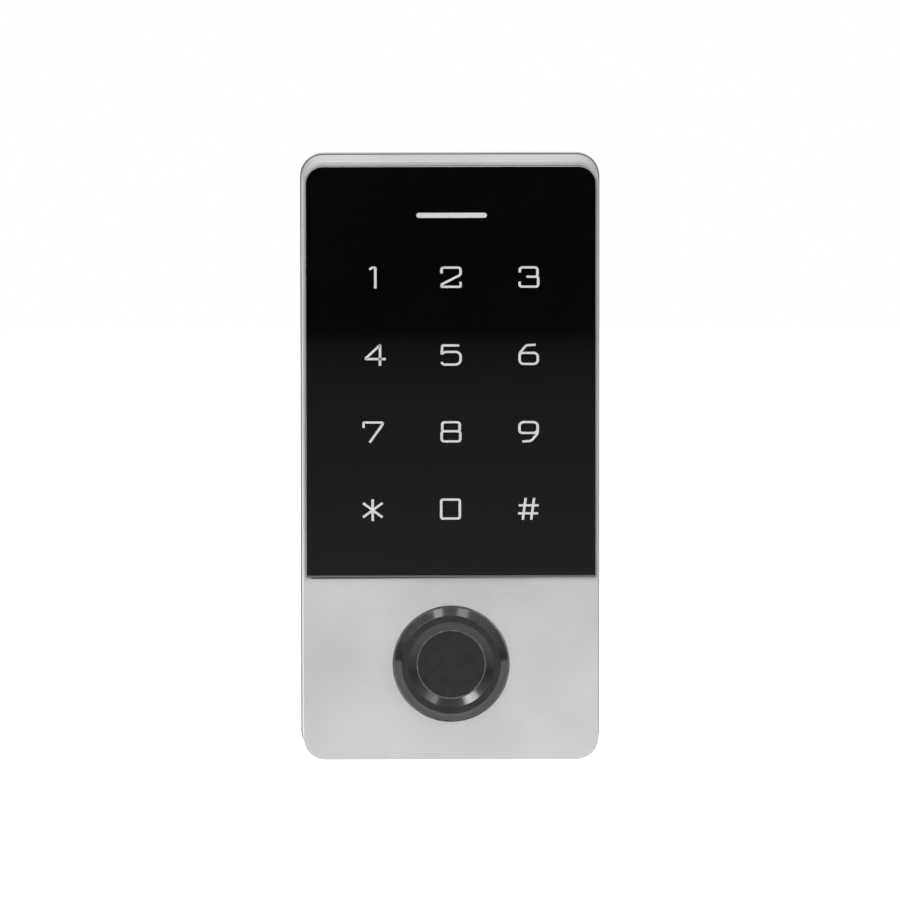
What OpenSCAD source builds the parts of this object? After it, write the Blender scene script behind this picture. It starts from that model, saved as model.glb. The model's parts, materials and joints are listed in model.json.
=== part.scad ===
// Wall-mounted fingerprint and keypad terminal, in millimetres.
// X runs to the right as the user sees it, +Z up, and the user stands on the -Y side.
// The origin is the centre of the four wall-screw holes, on the wall plane.

/* [Case] */
// Width of the front face
case_w = 72; // [68:0.5:88]
// Height of the front face
case_h = 146.5; // [144:0.5:176]
// Distance from the wall to the front face
case_d = 22; // [22:0.5:28]
// How far each side flares out from the front face to the housing's rear edge
flare = 0.35; // [0.1:0.05:1.2]
// Corner radius of the front face
corner_r = 5.1; // [4:0.1:8]
// Side wall thickness at the front face
wall_t = 1.8; // [1.5:0.1:2.4]
// Thickness of the metal face round the sensor
face_t = 2.4; // [2:0.1:3]
// Thickness of the ledge that the glass is bonded to
ledge_t = 2.5; // [2:0.1:3]
// Radius of the posts that take the cover screws
post_r = 2.7; // [2.4:0.1:3.2]

/* [Rear cover] */
// Gap between the wall and the cover's rear edge
rear_gap = 1; // [1:0.1:1.5]
// Thickness of the cover's rim
rim_t = 3.4; // [3.2:0.1:4]
// How far the rim stands out past the housing's rear edge
rim_step = 0.25; // [0.1:0.05:0.5]
// Thickness of the seal between the rim and the housing
seal_t = 0.5; // [0.4:0.1:0.8]
// Depth of the recess in the cover's back, from the wall
recess_d = 5; // [4.8:0.1:6]
// Thickness of the cover's floor
floor_t = 1.4; // [1.2:0.1:2]
// Width of the cover's edge band between the recess and the cavity wall
band_t = 1.6; // [1.4:0.1:2]

/* [Glass and keypad] */
// Height of the glass
glass_h = 100.4; // [98:0.1:110]
// Thickness of the glass
glass_t = 2; // [1.6:0.1:2.6]
// How far the glass stands proud of the metal
glass_proud = 0.7; // [0.2:0.1:0.8]
// Metal rim beside the glass
rim_side = 0.65; // [0.6:0.05:1]
// Metal rim above the glass
rim_top = 1.15; // [0.7:0.05:1.6]
// Radius of the glass's upper corners
glass_r = 4.3; // [3:0.1:6]
// Width of the ledge under the glass's edge
ledge_w = 6.5; // [6:0.1:8]
// Thickness of the adhesive under the glass
tape_t = 0.3; // [0.2:0.05:0.4]
// Distance from the glass's top edge to the first row of keys
key_drop = 27.1; // [26:0.1:30]
// Distance between neighbouring keys
key_pitch = 18.9; // [16:0.1:19.5]
// Width of the cell that lights one key
cell_w = 11; // [9:0.5:13]
// Height of the cell that lights one key
cell_h = 10; // [8:0.5:12]
// Distance from the glass's top edge to the status light
bar_drop = 12; // [10.5:0.1:14]
// Length of the status light
bar_l = 17.4; // [12:0.1:24]
// Height of the status light
bar_h = 1.5; // [1:0.1:2.5]

/* [Fingerprint sensor] */
// Distance from the glass's bottom edge to the sensor's centre
sensor_drop = 21.4; // [20.5:0.1:24]
// Outer radius of the bezel
bezel_r = 14; // [13.6:0.1:16.8]
// How far the bezel stands proud of the face
bezel_proud = 2.2; // [1.8:0.1:3]
// Width of the flange outside the threaded barrel
flange_w = 1.5; // [1.2:0.1:2]
// Length of the barrel behind the face
barrel_l = 9; // [7:0.1:9.5]
// Width of the bezel's outer chamfer
chamfer_w = 1.95; // [1.4:0.05:2.2]
// Width of the bezel's flat
land_w = 1.6; // [1.2:0.1:2]
// Width of the funnel round the disc
funnel_w = 1.97; // [1.6:0.01:2.4]
// How far the disc lies below the bezel's flat
disc_sink = 0.9; // [0.5:0.1:1.4]
// Thickness of the light ring round the disc
ring_t = 0.27; // [0.2:0.01:0.5]
// Depth of the seat that the bezel sits in
seat_d = 0.5; // [0.3:0.1:0.8]

/* [Boards] */
// Thickness of the main board
main_t = 1.6; // [1:0.1:1.6]
// Thickness of the touch board
touch_t = 1.2; // [0.8:0.1:1.6]
// Gap between the cover's floor and the main board
board_gap = 1; // [0.9:0.1:1.4]

/* [Wall bracket] */
// Thickness of the bracket's sheet steel
sheet_t = 1.5; // [1.2:0.1:1.8]
// Horizontal distance between the wall-screw holes
hole_dx = 44; // [36:1:50]
// Vertical distance between the wall-screw holes
hole_dz = 100; // [90:1:110]
// Radius of the wall-screw holes
hole_r = 2.25; // [2:0.05:2.75]
// Width of the opening for the cable
opening_w = 30; // [24:1:34]
// Height of the opening for the cable
opening_h = 44; // [34:1:50]
// Width of each hook
hook_w = 8; // [6:0.5:10]
// Distance between the hooks' centres
hook_dx = 36; // [30:1:44]
// Width of the tongue that takes the lock screw
tongue_w = 16; // [12:0.5:18]

/* [Cable inlet] */
// Radius of the grommet's bore
cable_r = 3; // [2.5:0.1:3.6]
// Height of the inlet above the wall-screw pattern's centre
cable_z = 10; // [6:0.5:14]

/* [Hidden] */
$fn = 64;

// Clearances
slip = 0.12;      // a piece dropped into a pocket
seal_in = 0.05;   // seal's edge inside the rear cover's edge
ring_gap = 0.03;  // round the sensor's light ring
thread_gap = 0.05; // between a screw and its hole
hinge_gap = 0.06; // between a hook's round tip and its groove
swing_gap = 0.4;  // where the case swings past the bracket
thru = 1;         // how far a cut runs past the face it opens on

// Depths, measured from the wall towards the user
rim_front = rear_gap + rim_t;
housing_rear = rim_front + seal_t;
floor_front = recess_d + floor_t;
main_rear = floor_front + board_gap;
main_front = main_rear + main_t;
glass_front = case_d + glass_proud;
glass_rear = glass_front - glass_t;
ledge_front = glass_rear - tape_t;
ledge_rear = ledge_front - ledge_t;
touch_rear = ledge_rear - touch_t;
face_rear = case_d - face_t;
land_front = case_d + bezel_proud;
disc_front = land_front - disc_sink;
post_rear = floor_front + slip;

// Outlines
rear_w = case_w + 2 * flare;
rear_h = case_h + 2 * flare;
rear_r = corner_r + flare;
rim_w = rear_w + 2 * rim_step;
rim_h = rear_h + 2 * rim_step;
cavity_w = case_w - 2 * wall_t;
cavity_h = case_h - 2 * wall_t;
cavity_r = corner_r - wall_t + 1;
cover_w = cavity_w - 2 * slip;
cover_h = cavity_h - 2 * slip;
recess_w = cover_w - 2 * band_t;

// Glass, keypad and window under it
glass_w = case_w - 2 * rim_side;
glass_top = case_h / 2 - rim_top;
glass_bottom = glass_top - glass_h;
glass_mid = (glass_top + glass_bottom) / 2;
window_w = glass_w - 2 * ledge_w;
window_h = glass_h - 2 * ledge_w;
bar_z = glass_top - bar_drop;
key_z = [for (row = [0:3]) glass_top - key_drop - row * key_pitch];
key_x = [for (column = [-1:1]) column * key_pitch];
mask_rear = ledge_rear + thread_gap;
mask_front = ledge_front - thread_gap;
film_t = 0.2;
led = [1.6, 0.8, 0.7];
led_gap = 5.5;

// Sensor
sensor_z = glass_bottom - sensor_drop;
land_out = bezel_r - chamfer_w;
land_in = land_out - land_w;
bore_r = land_in - funnel_w;
ring_r = bore_r - ring_gap;
disc_r = ring_r - ring_t - ring_gap;
barrel_r = bezel_r - flange_w;
seat_front = case_d - seat_d;
gasket_t = 0.3;
flange_rear = seat_front + gasket_t;
barrel_rear = case_d - face_t - barrel_l;
barrel_wall = 1.6;
barrel_in = barrel_r - barrel_wall;
sensor_board_t = 1;
shelf_rear = face_rear;
cap_t = 1.5;
nut_t = 2.1;
nut_flats = 2 * barrel_r + 4;
clear_r = barrel_r + 0.2;
sensor_plug = [12, 5, 1.6];
seat_r = bezel_r + slip;
seat_edge = 0.2;

// Screws
m2_r = 1;
m2_head_r = 1.7;
m2_head_h = 1.2;
m2_l = 3;
m25_r = 1.25;
m25_head_r = 2.2;
m25_head_h = 1;
m25_l = 8;
post_x = cavity_w / 2 - slip - band_t - m25_head_r - 0.6;
post_edge = 8.5;
post_low = glass_bottom - 2.1;
post_top = case_h / 2 - post_edge;
post_bottom = -post_top;
post_z = [post_top, (post_top + post_low) / 2, post_low, post_bottom];

// Bracket, hooks and lock
hook_tip_r = sheet_t / 2;
axis_out = rear_gap + rim_t / 2 + 0.3;
axis_z = case_h / 2 - 2.1;
strip_drop = 3.4;
bracket_top = axis_z - strip_drop;
plate_w = recess_w - 2;
hook_front = axis_out + hook_tip_r;
hook_room = 0.4;
lock_out = axis_out + 3;
lock_head_r = 2.75;
head_room = 0.35;
lock_head_h = 1.6;
lock_r = 1.5;
lock_seat_z = -(case_h / 2 - 1.4);
lock_head_gap = 0.1;
lock_l = 5.4;
web_t = 1.3;
pocket_floor = lock_seat_z + web_t;
tongue_low = pocket_floor + swing_gap;
nut_h = 2;
lock_nut_r = 3;
nut_top = tongue_low + sheet_t + nut_h;
pocket_top = nut_top + 0.5;
block_top = pocket_top + 1.6;
tongue_front = lock_out + lock_nut_r + 0.5;
pocket_front = tongue_front + 0.8;
block_front = pocket_front + 1.7;
pocket_w = tongue_w + 2;
block_w = pocket_w + 2 * 2.1;

// Main board outline
board_w = cover_w - 0.8;
board_top = case_h / 2 - 5;
board_bottom = glass_bottom + 1.4;
board_screw_x = post_x + 1.6;
board_screw_z = [(post_z[0] + post_z[1]) / 2, (post_z[1] + post_z[2]) / 2];
board_post_r = 2.1;

// Grommet
waist_r = cable_r + 1.5;
flange_r = waist_r + 1.5;
flange_t = 1.4;
lip_t = 0.9;
grommet_room = flange_r + 1;

// Row of pins between the two boards
link_pins = 8;
link_pitch = 2.54;
link_z = board_top - 8;
link_body = [link_pins * link_pitch, 2.5];
link_socket_h = 4.2;
link_base_h = 1.5;
pin_w = 0.64;
pin_floor = 0.8;

// Flat cable from the sensor to the main board
flex_w = 10;
flex_t = 0.2;
flex_gap = 0.1;
flex_out = barrel_rear - sensor_plug[2] / 2;
flex_low = sensor_z - 1;
flex_socket = [14, 4.5];
flex_socket_z = board_bottom + 3.4;
flex_high = flex_socket_z + 1;

// Components, placed in two columns beside the cable
left_x = -17;
right_x = 18;
chip_h = 1.4;
processor = [10, 10, chip_h];
small_chip = [5, 4, chip_h];
touch_chip = [7, 7, 1];
inductor = [7, 7, 3];
inductor_base = 0.8;
coil_r = 3.2;
can_r = 3.15;
can_h = 5.8;
relay = [10.6, 7.6, 6];
buzzer_r = 4.5;
buzzer_h = 5;
wire_ways = 8;
wire_pitch = 2;
wire_body = [wire_ways * wire_pitch + 2, 5, 6];
wire_wall = 0.8;
wire_floor = 1.5;
wire_pin = 0.5;
wire_z = cable_z + grommet_room + 3 + wire_body[1] / 2;

// Tamper sensor behind its window
tamper_x = 10;
tamper_z = cable_z - 22;
tamper_r = 2;
tamper_lip = 0.8;
tamper_lip_t = 0.6;
tamper_chip = [3.2, 2.6, 0.8];

// Colours
satin_silver = [0.78, 0.78, 0.79];
gloss_black = [0.03, 0.03, 0.035];
soft_black = [0.12, 0.12, 0.13];
zinc = [0.72, 0.73, 0.74];
steel = [0.62, 0.63, 0.65];
board_green = [0.05, 0.3, 0.16];
milky = [0.92, 0.93, 0.94];
rubber_black = [0.07, 0.07, 0.07];

// Panel space: X right, Y up, Z out of the wall towards the user.
module panel() {
    rotate([90, 0, 0]) children();
}

// Slab between two distances from the wall, from a flat outline.
module slab(low, high) {
    translate([0, 0, low]) linear_extrude(height = high - low) children();
}

module rounded(w, h, r) {
    square([w - 2 * r, h], center = true);
    square([w, h - 2 * r], center = true);
    for (x = [-1, 1], y = [-1, 1]) {
        translate([x * (w / 2 - r), y * (h / 2 - r)]) circle(r = r);
    }
}

module at_posts() {
    for (x = [-1, 1], y = post_z) translate([x * post_x, y]) children();
}

module at_board_screws() {
    for (x = [-1, 1], y = board_screw_z) translate([x * board_screw_x, y]) children();
}

module at_keys() {
    for (x = key_x, y = key_z) translate([x, y]) children();
}

module at_hooks() {
    for (x = [-1, 1]) translate([x * hook_dx / 2, 0, 0]) children();
}

// Block at the bottom of the housing that holds the lock pocket.
module block_outline(grow = 0) {
    low = -case_h;
    high = block_top + grow;
    translate([0, (low + high) / 2]) square([block_w + 2 * grow, high - low], center = true);
}

// Glass outline: upper corners round, lower corners square.
module glass_outline(grow = 0) {
    w = glass_w + 2 * grow;
    h = glass_h + 2 * grow;
    r = glass_r + grow;
    translate([0, glass_mid]) {
        translate([0, -r / 2]) square([w, h - r], center = true);
        translate([0, h / 2 - r / 2]) square([w - 2 * r, r], center = true);
        for (x = [-1, 1]) translate([x * (w / 2 - r), h / 2 - r]) circle(r = r);
    }
}

module window_outline(inset = 0) {
    translate([0, glass_mid]) rounded(window_w - 2 * inset, window_h - 2 * inset, 2);
}

module boss_notches(clear) {
    at_posts() circle(r = post_r + clear);
}

// Pocket that the bracket's tongue reaches into.
module pocket_outline() {
    translate([0, (pocket_floor + pocket_top) / 2])
        square([pocket_w, pocket_top - pocket_floor], center = true);
}

// Notch in the rim and the seal that lets the lock screw's head past.
module lock_notch() {
    translate([0, pocket_floor - case_h / 4])
        square([2 * (lock_head_r + head_room), case_h / 2 + thru], center = true);
}

// Slot for the lock screw, open towards the wall.
module lock_slot(r, low, high) {
    translate([0, low, 0]) rotate([-90, 0, 0]) linear_extrude(height = high - low) {
        translate([0, -lock_out]) circle(r = r);
        translate([-r, -lock_out]) square([2 * r, lock_out + thru]);
    }
}

module front_housing() {
    outer_scale = [case_w / rear_w, case_h / rear_h];
    lower_h = glass_bottom + 2 + case_h / 2;
    color(satin_silver) panel() difference() {
        translate([0, 0, housing_rear])
            linear_extrude(height = case_d - housing_rear, scale = outer_scale, slices = 1)
                rounded(rear_w, rear_h, rear_r);
        // Cavity behind the ledge, round the lock block and the posts
        slab(housing_rear - thru, block_front) difference() {
            rounded(cavity_w, cavity_h, cavity_r);
            block_outline();
            at_posts() post_outline();
        }
        slab(block_front, ledge_rear) difference() {
            rounded(cavity_w, cavity_h, cavity_r);
            at_posts() post_outline();
        }
        slab(housing_rear - thru, post_rear) difference() {
            rounded(cavity_w, cavity_h, cavity_r);
            block_outline();
        }
        // Deeper cavity behind the metal face
        slab(ledge_rear, face_rear) difference() {
            intersection() {
                rounded(cavity_w, cavity_h, cavity_r);
                translate([0, -case_h / 2 + lower_h / 2]) square([case_w, lower_h], center = true);
            }
            at_posts() post_outline();
        }
        slab(ledge_front, case_d + thru) glass_outline(slip);
        slab(ledge_rear - thru, ledge_front + thru) window_outline();
        // Sensor hole, its seat and the polished edge of the seat
        translate([0, sensor_z, 0]) {
            slab(barrel_rear - slip, case_d + thru) circle(r = clear_r);
            slab(seat_front, case_d + thru) circle(r = seat_r);
            translate([0, 0, case_d - seat_edge])
                cylinder(r1 = seat_r, r2 = seat_r + 2 * seat_edge, h = 2 * seat_edge);
        }
        // Lock pocket, head slot and shank slot
        slab(housing_rear - thru, pocket_front) pocket_outline();
        lock_slot(lock_head_r + head_room, -case_h, lock_seat_z);
        lock_slot(lock_r + 0.2, lock_seat_z - thru, pocket_floor + thru);
        // Pilot holes for the cover screws and the touch board's screws
        slab(post_rear - thru, recess_d + m25_l + 0.6) at_posts() circle(r = m25_r + thread_gap);
        slab(ledge_rear - thru, ledge_rear + m2_l - touch_t + 0.3)
            at_board_screws() circle(r = m2_r + thread_gap);
    }
}

// A post joined to the side wall it stands beside.
module post_outline() {
    circle(r = post_r);
    square([2 * (cavity_w / 2 - post_x), 1.6], center = true);
}

module glass_panel() {
    color(gloss_black) panel() slab(glass_rear, glass_front) glass_outline();
}

module glass_adhesive() {
    color(rubber_black) panel() slab(ledge_front, glass_rear) difference() {
        glass_outline(-0.3);
        window_outline(-0.3);
    }
}

module legend_film() {
    low = (ledge_front + glass_rear - film_t) / 2;
    color(milky) panel() slab(low, low + film_t) window_outline(slip);
}

module light_mask() {
    color(soft_black) panel() slab(mask_rear, mask_front) difference() {
        window_outline(slip);
        at_keys() rounded(cell_w, cell_h, 1.5);
        translate([0, bar_z]) rounded(bar_l + 2 * slip, bar_h + 2 * slip, bar_h / 2 + slip - 0.01);
    }
}

module status_light_pipe() {
    pipe_rear = ledge_rear + led[2] + 0.1;
    color(milky) panel() slab(pipe_rear, mask_front)
        translate([0, bar_z]) rounded(bar_l, bar_h, bar_h / 2 - 0.01);
}

module indicator_leds() {
    color([0.95, 0.9, 0.6]) panel() slab(ledge_rear, ledge_rear + led[2]) {
        at_keys() square([led[0], led[1]], center = true);
        for (x = [-1:1]) translate([x * led_gap, bar_z]) square([led[0], led[1]], center = true);
    }
}

module touch_board() {
    h = board_top - board_bottom;
    color(board_green) panel() slab(touch_rear, ledge_rear) difference() {
        translate([0, board_bottom + h / 2]) square([board_w, h], center = true);
        boss_notches(0.4);
        at_posts() square([2 * (cavity_w / 2 - post_x), 2.4], center = true);
        at_board_screws() circle(r = m2_r + 0.15);
    }
}

module touch_controller() {
    color(soft_black) panel() translate([0, key_z[1], touch_rear - touch_chip[2] / 2])
        cube(touch_chip, center = true);
}

module at_pins() {
    for (i = [0:link_pins - 1]) {
        translate([(i - (link_pins - 1) / 2) * link_pitch, link_z]) children();
    }
}

module link_header() {
    color(soft_black) panel() {
        slab(touch_rear - link_base_h, touch_rear) translate([0, link_z]) square(link_body, center = true);
        slab(main_front + pin_floor + 0.2, touch_rear - link_base_h) at_pins() square(pin_w, center = true);
    }
}

module link_socket() {
    color(soft_black) panel() difference() {
        slab(main_front, main_front + link_socket_h)
            translate([0, link_z]) square(link_body, center = true);
        slab(main_front + pin_floor, main_front + link_socket_h + thru)
            at_pins() square(pin_w + 0.2, center = true);
    }
}

module sensor_bezel() {
    profile = [[bore_r, shelf_rear], [bore_r, disc_front], [land_in, land_front], [land_out, land_front],
        [bezel_r, case_d + 0.35], [bezel_r, flange_rear], [barrel_r, flange_rear],
        [barrel_r, barrel_rear], [barrel_in, barrel_rear], [barrel_in, shelf_rear]];
    color(gloss_black) panel() translate([0, sensor_z, 0]) rotate_extrude() polygon(profile);
}

module sensor_ring(low, high, out, in) {
    panel() translate([0, sensor_z, 0]) slab(low, high) difference() {
        circle(r = out);
        circle(r = in);
    }
}

module sensor_disc() {
    color(soft_black) panel() translate([0, sensor_z, 0]) slab(shelf_rear, disc_front) circle(r = disc_r);
}

module sensor_light_ring() {
    color(milky) sensor_ring(shelf_rear, disc_front, ring_r, disc_r + ring_gap);
}

module sensor_board() {
    color(board_green) panel() translate([0, sensor_z, 0])
        slab(shelf_rear - sensor_board_t, shelf_rear) circle(r = barrel_in - 0.1);
}

module sensor_end_cap() {
    color(soft_black) panel() translate([0, sensor_z, 0])
        slab(barrel_rear, barrel_rear + cap_t) circle(r = barrel_in - 0.05);
}

module sensor_connector() {
    color(milky) panel() difference() {
        slab(barrel_rear - sensor_plug[2], barrel_rear)
            translate([0, sensor_z]) square([sensor_plug[0], sensor_plug[1]], center = true);
        flex_strip(flex_gap);
    }
}

module sensor_gasket() {
    color(rubber_black) sensor_ring(seat_front, flange_rear, bezel_r - 0.2, clear_r + 0.05);
}

module sensor_nut() {
    corner = nut_flats / 2 / cos(30);
    color(steel) panel() translate([0, sensor_z, 0]) slab(face_rear - nut_t, face_rear) difference() {
        circle(r = corner, $fn = 6);
        circle(r = barrel_r + thread_gap);
    }
}

module flex_strip(grow = 0) {
    slab(flex_out - flex_t / 2 - grow, flex_out + flex_t / 2 + grow)
        translate([0, (flex_low + flex_high) / 2])
            square([flex_w + 2 * grow, flex_high - flex_low + 2 * grow], center = true);
}

module sensor_flex() {
    color([0.85, 0.85, 0.8]) panel() flex_strip();
}

module flex_socket() {
    color(milky) panel() difference() {
        slab(main_front, flex_out + 0.7)
            translate([0, flex_socket_z]) square(flex_socket, center = true);
        flex_strip(flex_gap);
    }
}

module main_board() {
    h = board_top - board_bottom;
    color(board_green) panel() slab(main_rear, main_front) difference() {
        translate([0, board_bottom + h / 2]) square([board_w, h], center = true);
        boss_notches(0.4);
        at_posts() square([2 * (cavity_w / 2 - post_x), 2.4], center = true);
        at_board_screws() circle(r = m2_r + 0.15);
        translate([0, cable_z]) circle(r = grommet_room);
    }
}

// A box-shaped component on the main board's front.
module on_board(x, z, size) {
    translate([x, z, main_front + size[2] / 2]) cube(size, center = true);
}

module main_chips() {
    color(soft_black) panel() {
        on_board(left_x, cable_z + 18, processor);
        for (drop = [-3, 7]) on_board(left_x, cable_z - drop, small_chip);
        on_board(right_x, cable_z - 4, small_chip);
    }
}

module power_inductor() {
    color([0.25, 0.25, 0.27]) panel() translate([right_x, cable_z - 15, 0]) {
        on_board(0, 0, [inductor[0], inductor[1], inductor_base]);
        slab(main_front + inductor_base, main_front + inductor[2]) circle(r = coil_r);
    }
}

module capacitors() {
    color([0.75, 0.76, 0.78]) panel() slab(main_front, main_front + can_h)
        for (rise = [12, 21]) translate([right_x, cable_z + rise]) circle(r = can_r);
}

module lock_relay() {
    color([0.15, 0.2, 0.45]) panel() on_board(right_x, cable_z + 34, relay);
}

module buzzer() {
    color(soft_black) panel() translate([left_x, cable_z + 34, main_front]) difference() {
        cylinder(r = buzzer_r, h = buzzer_h);
        translate([0, 0, buzzer_h - 2]) cylinder(r = 0.8, h = 2 + thru);
    }
}

module wire_connector() {
    inside = [wire_body[0] - 2 * wire_wall, wire_body[1] - 2 * wire_wall];
    color(milky) panel() translate([0, wire_z, 0]) {
        difference() {
            on_board(0, 0, wire_body);
            slab(main_front + wire_floor, main_front + wire_body[2] + thru) square(inside, center = true);
        }
        slab(main_front + wire_floor / 2, main_front + wire_body[2] - 1)
            for (i = [0:wire_ways - 1])
                translate([(i - (wire_ways - 1) / 2) * wire_pitch, 0]) square(wire_pin, center = true);
    }
}

module tamper_sensor() {
    color(soft_black) panel() translate([tamper_x, tamper_z, main_rear - tamper_chip[2] / 2])
        cube(tamper_chip, center = true);
}

module tamper_window() {
    color(milky) panel() translate([tamper_x, tamper_z, 0]) {
        slab(recess_d, floor_front - tamper_lip_t) circle(r = tamper_r);
        slab(floor_front - tamper_lip_t, floor_front) circle(r = tamper_r + tamper_lip);
    }
}

// Pan-head screw with its shank pointing out of the wall.
module m2_screw() {
    translate([0, 0, -m2_head_h]) difference() {
        cylinder(r = m2_head_r, h = m2_head_h);
        translate([0, 0, -thru]) cylinder(r = 0.8, h = thru + 0.7, $fn = 6);
    }
    cylinder(r = m2_r, h = m2_l);
}

module board_screws() {
    color(steel) panel() {
        at_board_screws() translate([0, 0, touch_rear]) m2_screw();
        at_board_screws() translate([0, 0, main_front]) mirror([0, 0, 1]) m2_screw();
    }
}

module back_cover() {
    color(zinc) panel() difference() {
        union() {
            slab(rear_gap, rim_front) rounded(rim_w, rim_h, rear_r + rim_step);
            slab(rim_front, floor_front) difference() {
                rounded(cover_w, cover_h, cavity_r - slip);
                block_outline(slip);
            }
            slab(floor_front, main_rear) at_board_screws() circle(r = board_post_r);
        }
        // Shallow recess round the bracket's plate
        slab(rear_gap - thru, sheet_t + 1.1)
            recess_outline(pocket_floor, axis_z - 1.4);
        // Deep recess for screw heads and wiring, clear of the lock block
        slab(rear_gap - thru, recess_d) difference() {
            recess_outline(pocket_floor + 1, axis_z - 1.4);
            block_outline(slip + floor_t);
        }
        // Way through for the bracket's tongue and for the lock screw
        slab(rear_gap - thru, rim_front + thru) {
            pocket_outline();
            lock_notch();
        }
        hook_seats();
        // Countersunk holes for the cover screws
        at_posts() {
            slab(recess_d - thru, floor_front + thru) circle(r = m25_r + 0.15);
            translate([0, 0, recess_d - 0.1])
                cylinder(r1 = m25_head_r + 0.2, r2 = m25_r + 0.1, h = m25_head_h + 0.1);
        }
        slab(main_rear - m2_l + main_t - 0.3, main_rear + thru)
            at_board_screws() circle(r = m2_r + thread_gap);
        // Cable inlet and tamper window
        slab(recess_d - thru, floor_front + thru) translate([0, cable_z]) circle(r = waist_r);
        translate([tamper_x, tamper_z, 0]) {
            slab(recess_d - thru, floor_front + thru) circle(r = tamper_r + thread_gap);
            slab(floor_front - tamper_lip_t - thread_gap, floor_front + thru)
                circle(r = tamper_r + tamper_lip + thread_gap);
        }
    }
}

module recess_outline(low, high) {
    translate([0, (low + high) / 2]) rounded(recess_w, high - low, 2.5);
}

// Pockets that the hooks reach up into, each ending in the groove it hangs the case by.
module hook_seats() {
    lip_z = axis_z + 0.15;
    at_hooks() {
        slab(rear_gap - thru, hook_front + hook_room)
            translate([0, (lip_z + axis_z - 6) / 2])
                square([hook_w + 1, lip_z - axis_z + 6], center = true);
        translate([0, axis_z, axis_out]) rotate([0, 90, 0])
            cylinder(r = hook_tip_r + hinge_gap, h = hook_w + 1, center = true);
    }
}

module cover_gasket() {
    color(rubber_black) panel() slab(rim_front, housing_rear) difference() {
        rounded(rim_w - 2 * seal_in, rim_h - 2 * seal_in, rear_r + rim_step - seal_in);
        difference() {
            rounded(cavity_w, cavity_h, cavity_r);
            block_outline();
        }
        pocket_outline();
        lock_notch();
    }
}

module cover_screws() {
    color(steel) panel() at_posts() {
        difference() {
            translate([0, 0, recess_d]) cylinder(r1 = m25_head_r, r2 = m25_r, h = m25_head_h);
            translate([0, 0, recess_d - thru]) cylinder(r = 0.9, h = thru + 0.7, $fn = 6);
        }
        translate([0, 0, recess_d + m25_head_h]) cylinder(r = m25_r, h = m25_l - m25_head_h);
    }
}

module cable_grommet() {
    lip_front = floor_front + lip_t;
    profile = [[cable_r, recess_d - flange_t], [flange_r, recess_d - flange_t], [flange_r, recess_d],
        [waist_r, recess_d], [waist_r, floor_front], [flange_r, floor_front],
        [flange_r - 0.6, lip_front], [cable_r, lip_front]];
    color(rubber_black) panel() translate([0, cable_z, 0]) rotate_extrude() polygon(profile);
}

module wall_bracket() {
    plate_h = bracket_top - tongue_low;
    plate_mid = (bracket_top + tongue_low) / 2;
    color(steel) panel() difference() {
        union() {
            slab(0, sheet_t) translate([0, plate_mid]) rounded(plate_w, plate_h, 3);
            slab(0, tongue_front) translate([0, tongue_low + sheet_t / 2])
                square([tongue_w, sheet_t], center = true);
            at_hooks() hook();
        }
        slab(-thru, sheet_t + thru) {
            for (x = [-1, 1], y = [-1, 1]) translate([x * hole_dx / 2, y * hole_dz / 2]) circle(r = hole_r);
            translate([0, cable_z]) rounded(opening_w, opening_h, 4);
        }
        translate([0, tongue_low - thru, lock_out]) rotate([-90, 0, 0])
            cylinder(r = lock_r + thread_gap, h = sheet_t + 2 * thru);
    }
}

// Hook: forward from the plate's top edge, then up to a round tip on the swing axis.
module hook() {
    rotate([0, 90, 0]) rotate([0, 0, 90]) linear_extrude(height = hook_w, center = true) {
        translate([axis_z - strip_drop - sheet_t, 0]) square([sheet_t, hook_front]);
        translate([axis_z - strip_drop - sheet_t, axis_out - hook_tip_r])
            square([strip_drop + sheet_t, sheet_t]);
        translate([axis_z, axis_out]) circle(r = hook_tip_r);
    }
}

module lock_nut() {
    color(steel) panel() translate([0, tongue_low + sheet_t, lock_out]) rotate([-90, 0, 0]) difference() {
        cylinder(r = lock_nut_r, h = nut_h);
        translate([0, 0, -thru]) cylinder(r = lock_r + thread_gap, h = nut_h + 2 * thru);
    }
}

module lock_screw() {
    head_top = lock_seat_z - lock_head_gap;
    color(steel) panel() translate([0, head_top, lock_out]) rotate([-90, 0, 0]) {
        cylinder(r = lock_r, h = lock_l);
        translate([0, 0, -lock_head_h]) difference() {
            cylinder(r = lock_head_r, h = lock_head_h);
            translate([0, 0, -thru]) cylinder(r = 1.2, h = thru + 1, $fn = 6);
        }
    }
}

front_housing();
glass_panel();
glass_adhesive();
legend_film();
light_mask();
status_light_pipe();
indicator_leds();
touch_board();
touch_controller();
link_header();
sensor_bezel();
sensor_disc();
sensor_light_ring();
sensor_board();
sensor_end_cap();
sensor_connector();
sensor_gasket();
sensor_nut();
sensor_flex();
flex_socket();
main_board();
link_socket();
main_chips();
power_inductor();
capacitors();
lock_relay();
buzzer();
wire_connector();
tamper_sensor();
board_screws();
back_cover();
cover_gasket();
cover_screws();
cable_grommet();
tamper_window();
wall_bracket();
lock_nut();
lock_screw();
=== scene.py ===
import json
import math

import bmesh
import bpy
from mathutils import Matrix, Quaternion, Vector


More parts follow.
